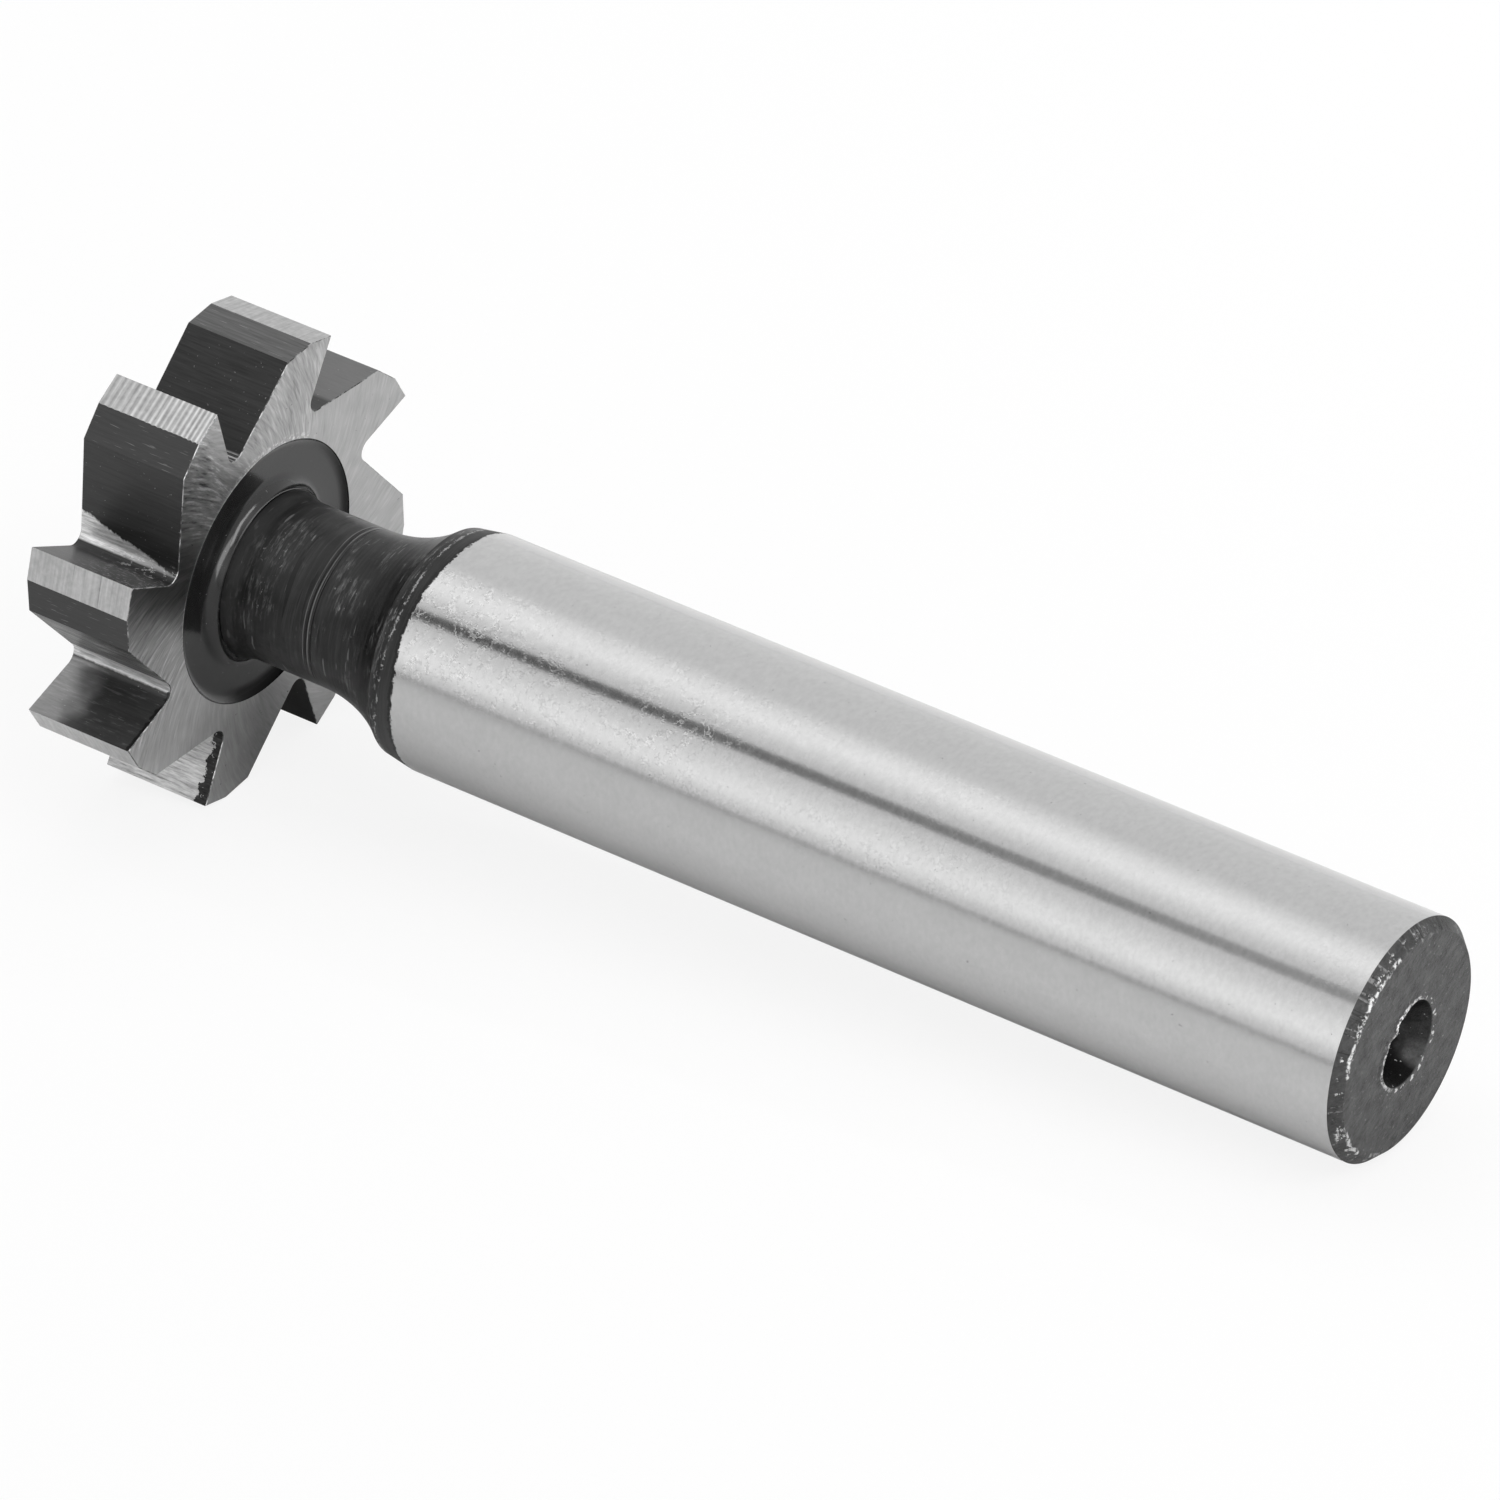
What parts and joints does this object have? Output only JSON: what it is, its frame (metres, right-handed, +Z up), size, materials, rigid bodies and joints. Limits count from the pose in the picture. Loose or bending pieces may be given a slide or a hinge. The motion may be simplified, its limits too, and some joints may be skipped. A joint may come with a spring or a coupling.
{
  "type": "t slot cutter",
  "caption": "T slot milling cutter: a narrow disc head with straight teeth, a thin blackened neck and a plain ground cylindrical shank, made from one bar of tool steel.",
  "frame": {"origin": "middle of the tool's bounding box on the bench that it lies on, as it rests on two teeth and the shank's end", "axes": "+X from the head towards the shank's end along the bench, with the tool's axis sloping down by about 4.7 degrees; +Z up"},
  "size_m": [0.0588, 0.0186, 0.019],
  "materials": {
    "ground_steel": "ground bright on the shank, the head's sides and the tooth lands; black heat-treatment skin on the neck, the recess and the tooth backs"
  },
  "bodies": {
    "root": {"cutter": "ground_steel"}
  },
  "joints": []
}
